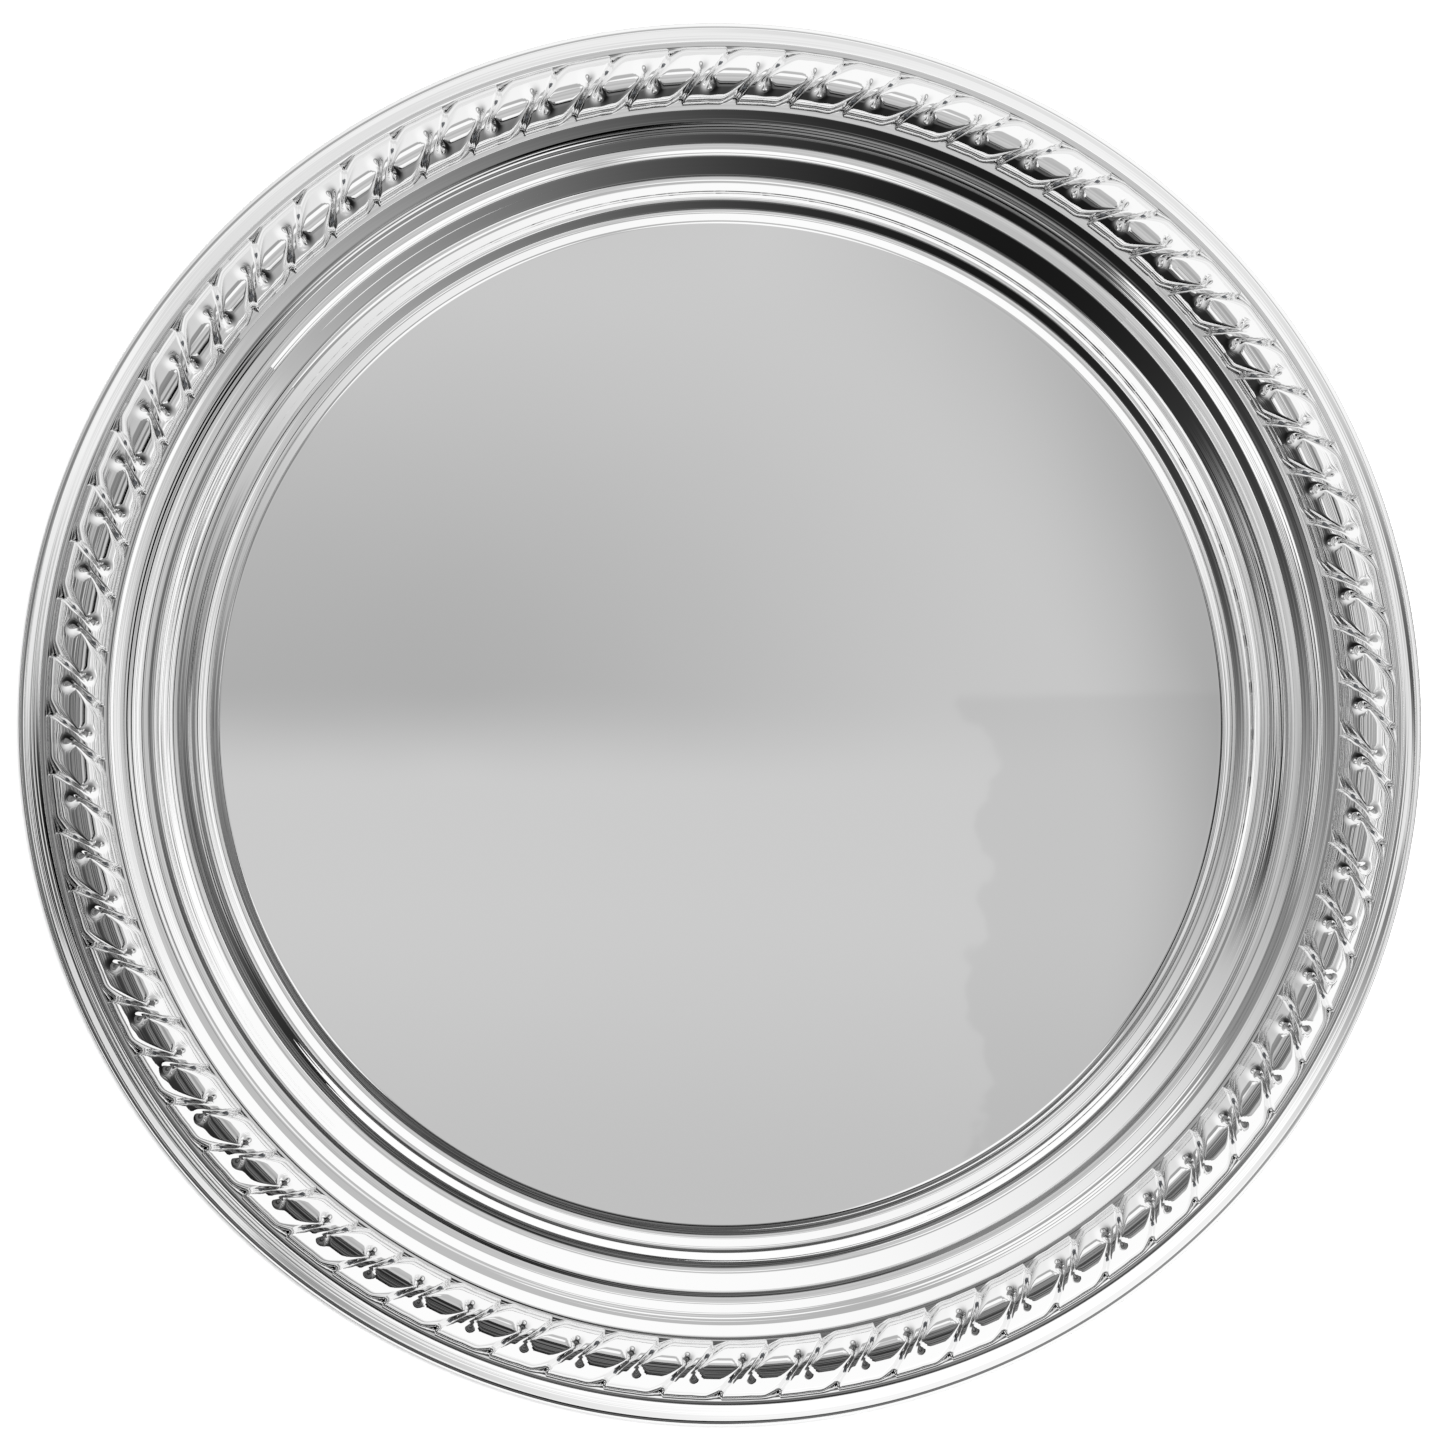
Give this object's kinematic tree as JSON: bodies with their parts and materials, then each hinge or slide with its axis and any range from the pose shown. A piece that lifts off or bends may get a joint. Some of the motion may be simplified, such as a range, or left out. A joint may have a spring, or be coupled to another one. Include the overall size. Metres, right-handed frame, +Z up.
{
  "type": "round salver",
  "caption": "Round silver-plated salver with a flat well, raised wall, cavetto and applied gadrooned border with a rolled edge.",
  "frame": {"origin": "centre of the salver, on the surface it rests on", "axes": "+Z up along the axis of the rings, +Y towards the far side of the border, +X to the right"},
  "size_m": [0.305, 0.305, 0.0137],
  "materials": {
    "plate_silver": "mirror-polished silver plate",
    "border_silver": "mirror-polished silver plate, softened on the lobes by polishing",
    "lead_filler": "matte cast lead-tin filler",
    "band_silver": "mirror-polished silver plate",
    "wire_metal": "drawn bare wire"
  },
  "bodies": {
    "root": {"tray_plate": "plate_silver", "gadroon_border": "border_silver", "border_backing": "lead_filler", "rim_band": "band_silver", "rim_wire": "wire_metal"}
  },
  "joints": []
}
